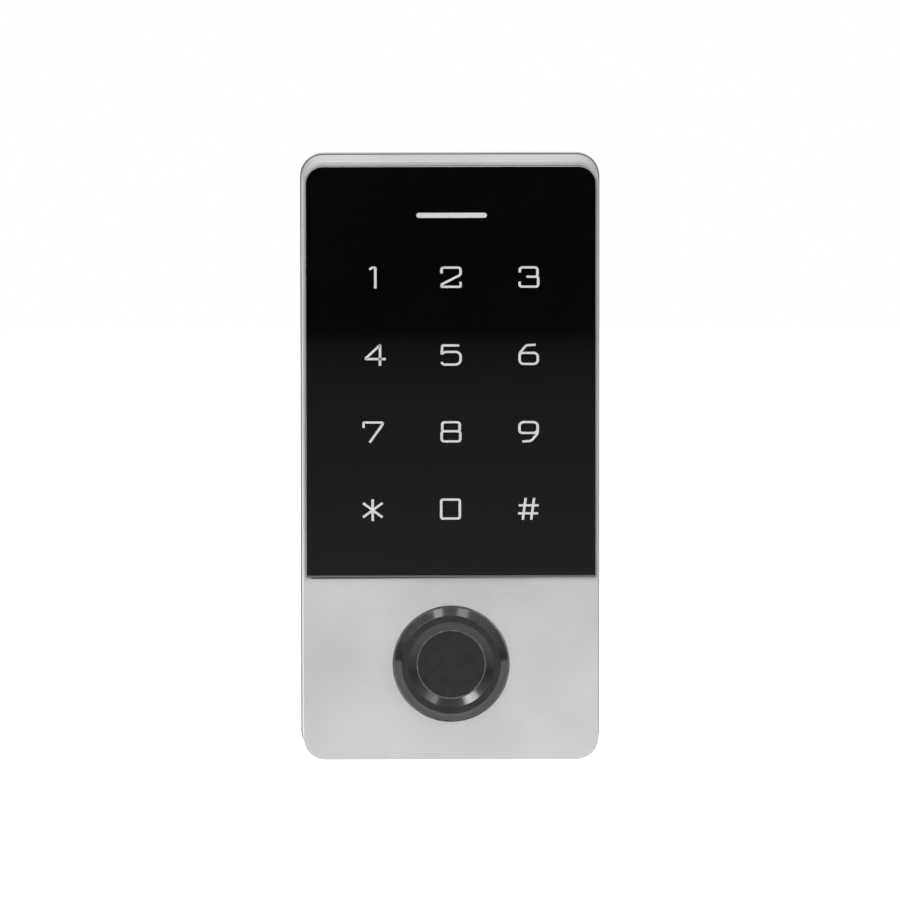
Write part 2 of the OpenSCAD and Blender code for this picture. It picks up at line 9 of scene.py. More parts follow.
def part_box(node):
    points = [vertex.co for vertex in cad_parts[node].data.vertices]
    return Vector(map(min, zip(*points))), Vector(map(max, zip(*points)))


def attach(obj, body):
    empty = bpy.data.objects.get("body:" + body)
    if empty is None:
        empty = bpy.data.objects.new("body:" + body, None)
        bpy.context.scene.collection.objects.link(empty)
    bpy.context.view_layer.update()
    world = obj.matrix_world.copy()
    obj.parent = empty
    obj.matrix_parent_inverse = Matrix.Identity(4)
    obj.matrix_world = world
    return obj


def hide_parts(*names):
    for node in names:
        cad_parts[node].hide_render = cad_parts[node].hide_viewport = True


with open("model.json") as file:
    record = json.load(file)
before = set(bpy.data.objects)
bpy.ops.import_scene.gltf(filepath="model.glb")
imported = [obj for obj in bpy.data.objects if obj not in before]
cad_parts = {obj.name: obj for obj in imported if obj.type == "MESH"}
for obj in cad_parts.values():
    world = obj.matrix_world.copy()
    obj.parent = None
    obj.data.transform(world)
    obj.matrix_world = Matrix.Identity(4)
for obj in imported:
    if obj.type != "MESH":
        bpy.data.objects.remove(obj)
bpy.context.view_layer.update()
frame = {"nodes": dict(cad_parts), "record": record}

MM = 0.001
MERGE, CAD_MERGE = 1e-7, 2e-6            # vertices closer than this become one, in metres
FLAT = math.radians(0.4)                 # faces that meet flatter than this become one
SHARP = math.radians(35.0)               # edges sharper than this can be softened
SMALLEST_R = 0.02                        # an inset outline keeps at least this corner radius
TERMINAL, BRACKET, SCREW = "terminal", "bracket", "screw"


# ---- helpers: measures -------------------------------------------------------

def mm_box(node):
    """Lowest and highest corner of a CAD node, in millimetres."""
    low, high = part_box(node)
    return [c / MM for c in low], [c / MM for c in high]


def centre(node):
    low, high = mm_box(node)
    return [(a + b) / 2 for a, b in zip(low, high)]


def at(x, z, out):
    """A point of the front view: x to the right, z up, out from the wall, in millimetres."""
    return Vector((x * MM, -out * MM, z * MM))


# ---- helpers: meshes ---------------------------------------------------------

def make(bm, name, body, slot, replaced=(), sharp=30.0):
    """Turns a bmesh into a shaded piece that rides on a body."""
    bmesh.ops.remove_doubles(bm, verts=bm.verts, dist=MERGE)
    bmesh.ops.recalc_face_normals(bm, faces=bm.faces)
    limit = math.radians(sharp)
    for face in bm.faces:
        face.smooth = True
    for edge in bm.edges:
        edge.smooth = len(edge.link_faces) == 2 and edge.calc_face_angle(0) < limit
    mesh = bpy.data.meshes.new(name)
    bm.to_mesh(mesh)
    bm.free()
    piece = bpy.data.objects.new(name, mesh)
    bpy.context.scene.collection.objects.link(piece)
    shade = piece.modifiers.new("shade", "WEIGHTED_NORMAL")
    shade.keep_sharp = True
    shade.mode = "FACE_AREA"
    mesh.materials.append(MATERIALS[slot])
    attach(piece, body)
    if replaced:
        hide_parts(*replaced)


def cad_copy(node):
    """A bmesh of a CAD node with its flat faces whole again."""
    bm = bmesh.new()
    bm.from_mesh(frame["nodes"][node].data)
    bmesh.ops.remove_doubles(bm, verts=bm.verts, dist=CAD_MERGE)
    bmesh.ops.dissolve_limit(bm, angle_limit=FLAT, verts=bm.verts, edges=bm.edges)
    return bm


def soften(bm, width, chosen, segments=2):
    """Rounds the sharp edges that chosen(x, z, out, edge) picks by their middle, in millimetres."""
    edges = []
    for edge in bm.edges:
        if len(edge.link_faces) == 2 and edge.calc_face_angle(0) > SHARP:
            middle = (edge.verts[0].co + edge.verts[1].co) / (2 * MM)
            if chosen(middle.x, middle.z, -middle.y, edge):
                edges.append(edge)
    bmesh.ops.bevel(bm, geom=edges, offset=width * MM, offset_type="OFFSET", segments=segments,
                    profile=0.5, affect="EDGES", clamp_overlap=True)


def fillet(points, radii, steps=4, closed=True):
    """Rounds a polygon's corners; radii is one number or one per corner."""
    count = len(points)
    if not hasattr(radii, "__len__"):
        radii = [radii] * count
    out = []
    for i, point in enumerate(points):
        p = Vector(point)
        if radii[i] <= 0 or (not closed and i in (0, count - 1)):
            out.append(p)
            continue
        a = Vector(points[i - 1]) - p
        b = Vector(points[(i + 1) % count]) - p
        turn = a.angle(b)
        reach = min(radii[i] / math.tan(turn / 2), 0.49 * a.length, 0.49 * b.length)
        start, end = p + a.normalized() * reach, p + b.normalized() * reach
        radius = reach * math.tan(turn / 2)
        middle = p + (a.normalized() + b.normalized()).normalized() * radius / math.sin(turn / 2)
        u, v = start - middle, end - middle
        sweep = u.angle(v)
        for k in range(steps + 1):
            t = k / steps
            out.append(middle + (u * math.sin((1 - t) * sweep) + v * math.sin(t * sweep)) / math.sin(sweep))
    return out


def round_ring(bm, radius, along, count, place):
    """Vertices evenly round an axis; place(a, b, along) gives the point."""
    turns = [2 * math.pi * i / count for i in range(count)]
    return [bm.verts.new(place(radius * math.cos(turn), radius * math.sin(turn), along)) for turn in turns]


def stitch(bm, low, high):
    """Faces between two closed rings of as many vertices."""
    for i in range(len(low)):
        j = (i + 1) % len(low)
        bm.faces.new((low[i], low[j], high[j], high[i]))


def lathe(bm, profile, place, segments=128):
    """Turns a closed profile of (radius, along) about an axis, placed as in round_ring."""
    rings = []
    for radius, along in profile:
        if radius < 1e-6:
            rings.append([bm.verts.new(place(0, 0, along))])
        else:
            rings.append(round_ring(bm, radius, along, segments, place))
    for k, ring in enumerate(rings):
        following = rings[(k + 1) % len(rings)]
        if len(ring) == 1 and len(following) == 1:
            continue
        for i in range(segments):
            j = (i + 1) % segments
            corners = [ring[i % len(ring)], ring[j % len(ring)],
                       following[j % len(following)], following[i % len(following)]]
            unique = [v for n, v in enumerate(corners) if v not in corners[:n]]
            bm.faces.new(unique)


def on_face(x, z):
    """place() for a lathe whose axis points out of the wall at x, z."""
    return lambda a, b, along: at(x + a, z + b, along)


def rounded_rect(width, height, radii, inset=0.0, steps=12, x=0.0, z=0.0):
    """Outline with its own radius at each corner: top right, top left, bottom left, bottom right."""
    w, h = width / 2 - inset, height / 2 - inset
    corners = ((1, 1, 0), (-1, 1, 90), (-1, -1, 180), (1, -1, 270))
    points = []
    for (sx, sz, first), radius in zip(corners, radii):
        r = max(radius - inset, SMALLEST_R)
        for k in range(steps + 1):
            angle = math.radians(first + 90 * k / steps)
            points.append((x + sx * (w - r) + r * math.cos(angle), z + sz * (h - r) + r * math.sin(angle)))
    return points


def loft(bm, rings):
    """Closes a stack of equal rings of vectors with a face at each end."""
    made = [[bm.verts.new(p) for p in ring] for ring in rings]
    for low, high in zip(made, made[1:]):
        stitch(bm, low, high)
    bm.faces.new(made[0][::-1])
    bm.faces.new(made[-1])


def slab(bm, outline, layers):
    """outline(inset) gives points; layers are (inset, out) from back to front."""
    loft(bm, [[at(x, z, out) for x, z in outline(inset)] for inset, out in layers])


def edge_layers(back, front, radius, steps=3):
    """Layers of a slab whose two outer edges are rounded."""
    layers = []
    for k in range(steps + 1):
        angle = math.pi / 2 * k / steps
        layers.append((radius * (1 - math.sin(angle)), back + radius * (1 - math.cos(angle))))
    for k in range(steps + 1):
        angle = math.pi / 2 * k / steps
        layers.append((radius * (1 - math.cos(angle)), front - radius * (1 - math.sin(angle))))
    return layers


def ribbon(bm, path, back, front, across=0.62, high=0.54, closed=False):
    """A flat stroke of a legend: uprights are across wide, level strokes are high."""
    count = len(path)
    left, right = [], []
    for i, point in enumerate(path):
        before = path[i - 1] if i or closed else point
        after = path[(i + 1) % count] if i < count - 1 or closed else point
        a = (point - before).normalized() if point != before else (after - point).normalized()
        b = (after - point).normalized() if after != point else a
        way = (a + b).normalized()
        normal = Vector((-way.y, way.x))
        half = math.hypot(normal.x * across, normal.y * high) / 2
        half /= max(way.dot(a), 0.5)
        left.append(point + normal * half)
        right.append(point - normal * half)
    levels = []
    for out in (back, front):
        levels.append([[bm.verts.new(at(p.x, p.y, out)) for p in side] for side in (left, right)])
    (bl, br), (fl, fr) = levels
    last = count if closed else count - 1
    for i in range(last):
        j = (i + 1) % count
        bm.faces.new((fl[i], fl[j], fr[j], fr[i]))
        bm.faces.new((bl[i], br[i], br[j], bl[j]))
        bm.faces.new((fl[i], bl[i], bl[j], fl[j]))
        bm.faces.new((fr[i], fr[j], br[j], br[i]))
    if not closed:
        bm.faces.new((fl[0], fr[0], br[0], bl[0]))
        bm.faces.new((fl[-1], bl[-1], br[-1], fr[-1]))


# ---- materials ---------------------------------------------------------------

MATERIALS = {}
GRAIN_SHARE = 0.35                       # how much the fine grain adds to the patches
SHADES = (0.5, 0.85)                     # the stretch of patches and grain that the two shades span
SMOOTHEST = 0.01                         # no finish is glossier than this
WORN = (0.53, 0.62)                      # the stretch of pointiness over which an edge is worn
BRICK_SHADE = (0.86, 0.86, 0.86, 1)      # every second brick of a weave is a little darker
BEVEL_HIGHLIGHT_TILT = (0.002, 0.006, 0.30, 0.38)  # where the ground edge's tone, with its painted highlight, starts and ends, by its tilt
PAINTED_SHADE_UNDER = ((-0.2, 0.0), (0.22, 1.0))   # painted shade: the ground edge's tone fades out where the bevel looks down


def feed(tree, node, inputs):
    """Gives a node's inputs plain values or other nodes' outputs."""
    for key, value in inputs.items():
        if isinstance(value, bpy.types.NodeSocket):
            tree.links.new(value, node.inputs[key])
        else:
            node.inputs[key].default_value = value


def map_range(tree, value, source, result=(0.0, 1.0), smooth=False):
    node = tree.nodes.new("ShaderNodeMapRange")
    if smooth:
        node.interpolation_type = "SMOOTHSTEP"
    feed(tree, node, {"Value": value, "From Min": source[0], "From Max": source[1],
                      "To Min": result[0], "To Max": result[1]})
    return node.outputs["Result"]


def mix_colours(tree, kind, first, second, share=1.0):
    node = tree.nodes.new("ShaderNodeMixRGB")
    node.blend_type = kind
    feed(tree, node, {"Fac": share, "Color1": first, "Color2": second})
    return node.outputs["Color"]


def colour_ramp(tree, value, stops):
    """A colour for each value; stops are (position, colour), from low to high."""
    node = tree.nodes.new("ShaderNodeValToRGB")
    elements = node.color_ramp.elements
    for number, (position, colour) in enumerate(stops):
        stop = elements[number] if number < 2 else elements.new(position)
        stop.position, stop.color = position, (*colour, 1)
    tree.links.new(value, node.inputs["Fac"])
    return node.outputs["Color"]


def noise(tree, vector, size, detail):
    node = tree.nodes.new("ShaderNodeTexNoise")
    feed(tree, node, {"Vector": vector, "Scale": size, "Detail": detail, "Roughness": 0.6})
    return node.outputs["Fac"]


def woven(tree, place, colour, size, gap, joint):
    """Small bricks over a colour, with joints of another shade."""
    flat = tree.nodes.new("ShaderNodeMapping")
    feed(tree, flat, {"Vector": place.outputs["Object"], "Rotation": (math.pi / 2, 0, 0)})
    pattern = tree.nodes.new("ShaderNodeTexBrick")
    feed(tree, pattern, {"Vector": flat.outputs["Vector"], "Scale": size, "Mortar Size": gap,
                         "Color1": (1, 1, 1, 1), "Color2": BRICK_SHADE, "Mortar": (*joint, 1)})
    return mix_colours(tree, "MULTIPLY", colour, pattern.outputs["Color"])


def worn_edges(tree, colour, light, wear):
    """Lightens the edges, where handling polishes them."""
    edge = tree.nodes.new("ShaderNodeNewGeometry")
    sharp = map_range(tree, edge.outputs["Pointiness"], WORN, (0.0, wear))
    bright = (*[min(1.0, c * 1.25 + 0.02) for c in light], 1)
    return mix_colours(tree, "MIX", colour, bright, sharp)


def ground_edge_highlight(tree, place, colour, ground):
    """Adds a ground edge's paler tone to the bevel round the front of a pane as a painted highlight,
    strongest where the bevel faces up and none where it faces down, which is painted shade.
    """
    facing = tree.nodes.new("ShaderNodeSeparateXYZ")
    tree.links.new(place.outputs["Normal"], facing.inputs["Vector"])
    black = (0, 0, 0)
    tilt = map_range(tree, facing.outputs["Y"], (-1.0, 1.0))
    bevel = colour_ramp(tree, tilt, tuple(zip(BEVEL_HIGHLIGHT_TILT, (black, ground, ground, black))))
    lit = tree.nodes.new("ShaderNodeVectorMath")
    lit.operation = "SCALE"
    # painted shade: the bevel's painted highlight is scaled down to nothing where it faces down
    feed(tree, lit, {0: bevel, "Scale": map_range(tree, facing.outputs["Z"], *PAINTED_SHADE_UNDER)})
    return mix_colours(tree, "ADD", colour, lit.outputs["Vector"])


def finish(slot, dark, light, rough, metallic=0.0, patch=60.0, grain=6000.0, relief=0.0,
           stretch=(1, 1, 1), swing=0.04, wear=0.0, coat=0.0, coat_rough=0.05, specular=0.5, weave=None,
           ground=None):
    """A procedural finish: patches of two shades, a fine grain in gloss and relief, and worn edges."""
    material = bpy.data.materials.new(slot)
    material.use_nodes = True
    tree = material.node_tree
    shader = tree.nodes["Principled BSDF"]
    place = tree.nodes.new("ShaderNodeTexCoord")
    scale = tree.nodes.new("ShaderNodeMapping")
    feed(tree, scale, {"Vector": place.outputs["Object"], "Scale": stretch})
    patches = noise(tree, scale.outputs["Vector"], patch, 4.0)
    fine = noise(tree, scale.outputs["Vector"], grain, 2.0)
    blend = tree.nodes.new("ShaderNodeMath")
    blend.operation = "MULTIPLY_ADD"
    feed(tree, blend, {0: fine, 1: GRAIN_SHARE, 2: patches})

    colour = colour_ramp(tree, blend.outputs[0], tuple(zip(SHADES, (dark, light))))
    if weave:
        colour = woven(tree, place, colour, *weave)
    if wear:
        colour = worn_edges(tree, colour, light, wear)
    if ground:
        colour = ground_edge_highlight(tree, place, colour, ground)
    gloss = map_range(tree, blend.outputs[0], SHADES, (max(rough - swing, SMOOTHEST), rough + swing))
    feed(tree, shader, {"Base Color": colour, "Roughness": gloss, "Metallic": metallic, "Coat Weight": coat,
                        "Coat Roughness": coat_rough, "Specular IOR Level": specular})
    if relief:
        bump = tree.nodes.new("ShaderNodeBump")
        feed(tree, bump, {"Height": fine, "Strength": 1.0, "Distance": relief * MM})
        feed(tree, shader, {"Normal": bump.outputs["Normal"]})
    MATERIALS[slot] = material


def grey(value, tint=0.0):
    return (value * (1 - tint), value, value * (1 + tint))


finish("case_silver", grey(0.76, 0.004), grey(0.82, 0.004), 0.46, metallic=0.75, patch=38, grain=5200,
       relief=0.010, swing=0.03)
finish("cover_silver", grey(0.62, 0.004), grey(0.70, 0.004), 0.45, metallic=0.75, patch=45, grain=5200,
       relief=0.012, swing=0.04)
# the glass's pale bevel is partly its own ground finish and partly a painted highlight that fades to painted
# shade on its lower side
finish("black_glass", grey(0.0008), grey(0.0014), 0.03, patch=26, grain=900, swing=0.012, specular=0.45,
       ground=grey(0.46))
finish("adhesive_foam", grey(0.012), grey(0.04), 0.92, patch=900, grain=5000, relief=0.08)
finish("diffuser_film", grey(0.58), grey(0.65), 0.24, patch=300, grain=5000, relief=0.002)
finish("light_pipe_plastic", grey(0.58), grey(0.65), 0.22, patch=350, grain=4200, relief=0.003)
finish("ring_plastic", grey(0.10), grey(0.16), 0.25, patch=600, grain=5200, relief=0.002, swing=0.06)
finish("mask_plastic", grey(0.018), grey(0.034), 0.55, patch=160, grain=3800, relief=0.03, swing=0.08)
finish("led_resin", (0.78, 0.66, 0.20), (0.95, 0.86, 0.42), 0.22, patch=2200, grain=7000, coat=0.5)
finish("circuit_board", (0.006, 0.085, 0.034), (0.012, 0.150, 0.062), 0.30, patch=260, grain=2500,
       relief=0.012, swing=0.08, coat=0.3, weave=(900, 0.03, (1.5, 1.9, 1.4)))
finish("chip_plastic", grey(0.014), grey(0.026), 0.62, patch=700, grain=9000, relief=0.015, swing=0.08)
finish("connector_black", grey(0.016), grey(0.032), 0.45, patch=500, grain=5000, relief=0.012)
finish("connector_white", (0.60, 0.56, 0.46), (0.78, 0.75, 0.66), 0.40, patch=420, grain=4500, relief=0.01)
finish("bezel_black", grey(0.016), grey(0.025), 0.24, patch=240, grain=5200, relief=0.003,
       swing=0.05, wear=0.10, coat=0.85, coat_rough=0.12, specular=0.15)
finish("sensor_pad", grey(0.012), grey(0.021), 0.62, patch=420, grain=2600, relief=0.02,
       swing=0.08, specular=0.3)
finish("seal_rubber", grey(0.010), grey(0.024), 0.80, patch=240, grain=4200, relief=0.04, swing=0.08)
finish("plated_steel", (0.48, 0.49, 0.50), (0.62, 0.62, 0.60), 0.30, metallic=1.0, patch=700, grain=5000,
       relief=0.008, swing=0.08, wear=0.3)
finish("flex_film", (0.42, 0.17, 0.025), (0.60, 0.28, 0.05), 0.30, patch=320, grain=3000, relief=0.004,
       weave=(1000, 0.16, (1.35, 1.25, 1.1)))
finish("ferrite", grey(0.045), grey(0.085), 0.70, patch=900, grain=8000, relief=0.03, swing=0.1)
finish("capacitor_can", grey(0.56), grey(0.70), 0.26, metallic=1.0, patch=500, grain=2600, relief=0.004,
       stretch=(1, 6, 1), swing=0.06)
finish("relay_plastic", (0.010, 0.035, 0.15), (0.020, 0.060, 0.24), 0.35, patch=260, grain=4200,
       relief=0.01)
finish("window_plastic", grey(0.06), grey(0.10), 0.12, patch=500, grain=5000, coat=0.4)
finish("bracket_steel", (0.50, 0.51, 0.52), (0.58, 0.58, 0.575), 0.36, metallic=1.0, patch=170, grain=2600,
       relief=0.003, stretch=(1, 1, 0.6), swing=0.07, wear=0.3)
finish("lock_steel", grey(0.46), grey(0.60), 0.24, metallic=1.0, patch=800, grain=6000, relief=0.005,
       swing=0.06, wear=0.3)


# ---- the case ----------------------------------------------------------------

case_low, case_high = mm_box("front_housing")
glass_low, glass_high = mm_box("glass_panel")
bezel_low, bezel_high = mm_box("sensor_bezel")
disc_low, disc_high = mm_box("sensor_disc")
ring_low, ring_high = mm_box("sensor_light_ring")
cover_low, cover_high = mm_box("back_cover")
FACE = -case_low[1]                      # front of the metal, out from the wall
REAR = -case_high[1]                     # back of the case's side walls
FLARE = 0.35                             # how much wider each side is at the back
CASE_W = case_high[0] - case_low[0] - 2 * FLARE
CASE_H = case_high[2] - case_low[2] - 2 * FLARE
CORNER = 5.1
SENSOR = (0.0, (bezel_low[2] + bezel_high[2]) / 2)
BEZEL_R = (bezel_high[0] - bezel_low[0]) / 2


def outside(x, z, width, height, radius):
    """Signed distance from a rounded rectangle's outline."""
    dx, dz = abs(x) - width / 2 + radius, abs(z) - height / 2 + radius
    return math.hypot(max(dx, 0), max(dz, 0)) + min(max(dx, dz), 0) - radius


def front_rim(x, z, out, edge):
    return abs(out - FACE) < 0.02 and abs(outside(x, z, CASE_W, CASE_H, CORNER)) < 0.06


def rear_rim(x, z, out, edge):
    return abs(out - REAR) < 0.02 and abs(outside(x, z, CASE_W + 2 * FLARE, CASE_H + 2 * FLARE,
                                                  CORNER + FLARE)) < 0.06


def pocket_edge(x, z, out, edge):
    inside = abs(x) < CASE_W / 2 - 0.3 and abs(z) < CASE_H / 2 - 0.3
    return abs(out - FACE) < 0.02 and inside and z > SENSOR[1] + BEZEL_R + 2


def glass_step(x, z, out, edge):
    """The metal's edge along the glass's lower side."""
    return (abs(out - FACE) < 0.02 and abs(z - glass_low[2]) < 0.3
            and abs(edge.verts[0].co.x - edge.verts[1].co.x) > MM)


def screw_slot(x, z, out, edge):
    """The edges of the slot for the lock screw, under the bottom."""
    return z < -CASE_H / 2 - 0.05 and abs(x) < 4 and out < 10


case = cad_copy("front_housing")
soften(case, 0.24, front_rim, segments=4)
soften(case, 0.12, rear_rim)
soften(case, 0.35, glass_step, segments=4)
soften(case, 0.08, pocket_edge)
soften(case, 0.10, screw_slot)
make(case, "case_shell", TERMINAL, "case_silver", ["front_housing"])

COVER_W, COVER_H = cover_high[0] - cover_low[0], cover_high[2] - cover_low[2]
COVER_BACK, COVER_FRONT = 1.1, 4.0       # the rear edges lie behind the first, the front ones past the second


def cover_rim(x, z):
    return abs(outside(x, z, COVER_W, COVER_H, CORNER + 0.5)) < 0.08


def cover_opening(x, z, out, edge):
    return out < 1.05 and outside(x, z, COVER_W, COVER_H, CORNER) < -0.3


cover = cad_copy("back_cover")
soften(cover, 0.22, lambda x, z, out, edge: cover_rim(x, z) and out < COVER_BACK, segments=3)
soften(cover, 0.12, lambda x, z, out, edge: cover_rim(x, z) and out > COVER_FRONT)
soften(cover, 0.15, cover_opening)
make(cover, "rear_cover", TERMINAL, "cover_silver", ["back_cover"])


# ---- black glass, legends and status light --------------------------------------

GLASS_W = glass_high[0] - glass_low[0]
GLASS_H = glass_high[2] - glass_low[2]
GLASS_MID = (glass_high[2] + glass_low[2]) / 2
GLASS_FRONT, GLASS_BACK = -glass_low[1], -glass_high[1]
GLASS_RADII = (4.3, 4.3, 0.35, 0.35)
CHAMFER = 0.09                           # ground edge round the front of the glass
LOWER_EDGE = 5.2                         # the ground edge is this much wider along the lower side
LOWER_REACH = 0.1                        # the glass nearly touches the metal below it
LOWER_FADE = 40                          # both come in over this height, down from the glass's middle
BACK_CHAMFER = 0.12
TURN = 0.02                              # each corner of the front chamfer is blunted by this much


def glass_outline(inset):
    wider = (LOWER_EDGE - 1) * inset - LOWER_REACH
    return [(x, z + max(0.0, min(1.0, (GLASS_MID - z) / LOWER_FADE)) * wider)
            for x, z in rounded_rect(GLASS_W, GLASS_H, GLASS_RADII, inset, 16, 0.0, GLASS_MID)]


glass = bmesh.new()
slab(glass, glass_outline, [(BACK_CHAMFER, GLASS_BACK), (0.0, GLASS_BACK + BACK_CHAMFER),
                            (0.0, GLASS_FRONT - CHAMFER - TURN), (TURN, GLASS_FRONT - CHAMFER + TURN),
                            (CHAMFER - TURN, GLASS_FRONT - TURN), (CHAMFER + TURN, GLASS_FRONT)])
make(glass, "keypad_glass", TERMINAL, "black_glass", ["glass_panel"], sharp=8)

PITCH = 18.9
KEY_TOP = glass_high[2] - 27.05          # height of the first row of keys
INK_DEEP, INK_PROUD = 0.25, 0.006        # how far a lit mark goes into the glass and stands out of it
INK_BACK, INK_FRONT = GLASS_FRONT - INK_DEEP, GLASS_FRONT + INK_PROUD
H = 2.36                                 # half height of a legend to the middle of its strokes
NARROW = 0.985                           # the share of its points' width that a legend is drawn at
BEND_STEPS = 5


def box_path(left, right, low, high, radius):
    return fillet([(left, low), (right, low), (right, high), (left, high)], radius, BEND_STEPS)


def open_path(points, radius):
    return fillet(points, radius, BEND_STEPS, closed=False)


LEGENDS = {
    "one": [(open_path([(-1.05, 1.9), (-0.35, 2.38), (0.4, 2.38), (0.4, -2.7)], [0, 0.2, 0.15, 0]), False)],
    "two": [(open_path([(-2.3, 0.95), (-2.3, H), (2.4, H), (2.4, 0.6), (-2.25, -1.75), (-2.25, -2.33),
                        (2.4, -2.33), (2.4, -1.1)], [0, 0.6, 0.6, 0.7, 0.35, 0.1, 0.25, 0]), False)],
    "three": [(open_path([(-2.15, 1.15), (-2.15, H), (2.2, H), (2.2, 0.1), (-0.5, 0.1)],
                         [0, 0.6, 0.6, 0.5, 0]), False),
              (open_path([(1.2, 0.1), (2.4, 0.1), (2.4, -2.33), (-2.2, -2.33), (-2.2, -1.1)],
                         [0, 0.5, 0.6, 0.6, 0]), False)],
    "four": [(open_path([(1.5, -2.7), (1.5, 2.35), (-2.2, -1.05), (2.95, -1.05)],
                        [0, 0.05, 0.12, 0]), False)],
    "five": [(open_path([(1.95, H), (-2.2, H), (-2.42, 0.3), (-1.5, 0.78), (2.3, 0.78), (2.3, -2.32),
                         (-1.9, -2.32), (-2.5, -1.75)], [0, 0.12, 0.1, 0.8, 1.2, 1.3, 0.6, 0]), False)],
    "six": [(box_path(-2.2, 2.3, -2.32, 0.38, [1.0, 1.0, 1.0, 0.7]), True),
            (open_path([(1.75, H), (-0.6, 2.25), (-2.2, 0.3), (-2.2, -1.0)], [0, 1.4, 1.4, 0]), False)],
    "seven": [(open_path([(-2.4, 1.0), (-2.4, 2.33), (2.35, 2.33), (2.2, 1.75), (-0.95, -2.6)],
                         [0, 0.15, 0.2, 0.5, 0]), False)],
    "eight": [(box_path(-2.15, 2.15, 0.16, H, 0.55), True), (box_path(-2.3, 2.3, -2.32, 0.16, 0.6), True)],
    "nine": [(box_path(-2.25, 2.25, -0.3, H, [0.7, 1.0, 1.0, 1.0]), True),
             (open_path([(2.25, 0.9), (2.25, -0.4), (0.7, -2.25), (-1.55, -2.4)], [0, 1.4, 1.4, 0]), False)],
    "star": [(open_path([(-0.2, 2.42), (-0.2, -2.9)], 0), False),
             (open_path([(-2.6, 1.52), (2.25, -2.0)], 0), False),
             (open_path([(-2.6, -2.0), (2.25, 1.52)], 0), False)],
    "zero": [(box_path(-2.3, 2.3, -2.32, 2.32, 0.42), True)],
    "hash": [(open_path([(-0.72, 2.67), (-1.45, -2.67)], 0), False),
             (open_path([(1.37, 2.67), (0.63, -2.67)], 0), False),
             (open_path([(-2.45, 0.87), (2.5, 0.87)], 0), False),
             (open_path([(-2.6, -1.1), (2.35, -1.1)], 0), False)],
}
NUDGES = {"one": (0.15, 0.0), "four": (0.17, 0.0), "five": (0.12, -0.12), "zero": (-0.13, 0.0)}
KEYS = (("one", "two", "three"), ("four", "five", "six"), ("seven", "eight", "nine"),
        ("star", "zero", "hash"))


def legend(bm, name, x, z):
    """Adds one legend's strokes, joined into one outline."""
    parts = []
    for path, closed in LEGENDS[name]:
        stroke = bmesh.new()
        points = [Vector((x + NARROW * p.x, z + p.y)) for p in path]
        ribbon(stroke, points, INK_BACK, INK_FRONT, closed=closed)
        bmesh.ops.recalc_face_normals(stroke, faces=stroke.faces)
        mesh = bpy.data.meshes.new("stroke")
        stroke.to_mesh(mesh)
        stroke.free()
        part = bpy.data.objects.new("stroke", mesh)
        bpy.context.scene.collection.objects.link(part)
        parts.append(part)
    for other in parts[1:]:
        union = parts[0].modifiers.new("union", "BOOLEAN")
        union.operation = "UNION"
        union.solver = "EXACT"
        union.object = other
    bpy.context.view_layer.update()
    joined = parts[0].evaluated_get(bpy.context.evaluated_depsgraph_get())
    mesh = bpy.data.meshes.new_from_object(joined)
    bm.from_mesh(mesh)
    for part in parts:
        bpy.data.objects.remove(part)
    bpy.data.meshes.remove(mesh)


film_low, film_high = mm_box("legend_film")
legends = bmesh.new()
for row, names in enumerate(KEYS):
    for column, name in enumerate(names):
        along, up = NUDGES.get(name, (0.0, 0.0))
        legend(legends, name, (column - 1) * PITCH + along, KEY_TOP - row * PITCH + up)
make(legends, "key_legends", TERMINAL, "diffuser_film")

FILM_W, FILM_H = film_high[0] - film_low[0], film_high[2] - film_low[2]
FILM_Z = (film_high[2] + film_low[2]) / 2
FILM_R, FILM_IN, FILM_EDGE = 0.8, 0.02, 0.03


def film_outline(inset):
    return rounded_rect(FILM_W, FILM_H, (FILM_R,) * 4, inset, 5, 0, FILM_Z)


film = bmesh.new()
slab(film, film_outline, [(FILM_IN, -film_high[1]), (0, -film_high[1] + FILM_EDGE),
                          (0, -film_low[1] - FILM_EDGE), (FILM_IN, -film_low[1])])
make(film, "legend_sheet", TERMINAL, "diffuser_film", ["legend_film"])

pipe_low, pipe_high = mm_box("status_light_pipe")
PIPE_W, PIPE_H = pipe_high[0] - pipe_low[0], pipe_high[2] - pipe_low[2]
PIPE_Z = (pipe_high[2] + pipe_low[2]) / 2


def bar_outline(inset):
    return rounded_rect(PIPE_W, PIPE_H, (PIPE_H / 2,) * 4, inset, 10, 0, PIPE_Z)


bar = bmesh.new()
slab(bar, bar_outline, edge_layers(-pipe_high[1], -pipe_low[1], 0.15))
make(bar, "status_light_guide", TERMINAL, "light_pipe_plastic", ["status_light_pipe"])
WINDOW_IN = 0.13                         # the lit window is smaller than the light pipe all round
WINDOW_X, WINDOW_Z = 0.22, 0.06          # and a little off its middle
window = bmesh.new()
slab(window, lambda inset: [(x + WINDOW_X, z + WINDOW_Z) for x, z in bar_outline(inset)],
     [(WINDOW_IN, INK_BACK), (WINDOW_IN, INK_FRONT)])
make(window, "status_light_window", TERMINAL, "light_pipe_plastic")


# ---- fingerprint sensor -------------------------------------------------------

SEAT = FACE - 0.2                        # the flange's back
LAND = -bezel_low[1]
BARREL_BACK = -bezel_high[1]
DISC = -disc_low[1]
DISC_R = (disc_high[0] - disc_low[0]) / 2
RING_R = (ring_high[0] - ring_low[0]) / 2
BORE = RING_R + 0.03
BARREL_R = 12.5
SHELF = -disc_high[1]
BARREL_WALL = 1.6
SLOPE_OUT, LAND_W = 1.95, 1.6            # widths of the outer slope and of the flat inside it
LAND_OUT, LAND_IN = BEZEL_R - SLOPE_OUT, BEZEL_R - SLOPE_OUT - LAND_W
SEEN_R = BEZEL_R - 0.1                   # the visible bezel is a hair smaller than the CAD one
BEZEL_LIP = 0.35                         # height of its upright edge over the metal

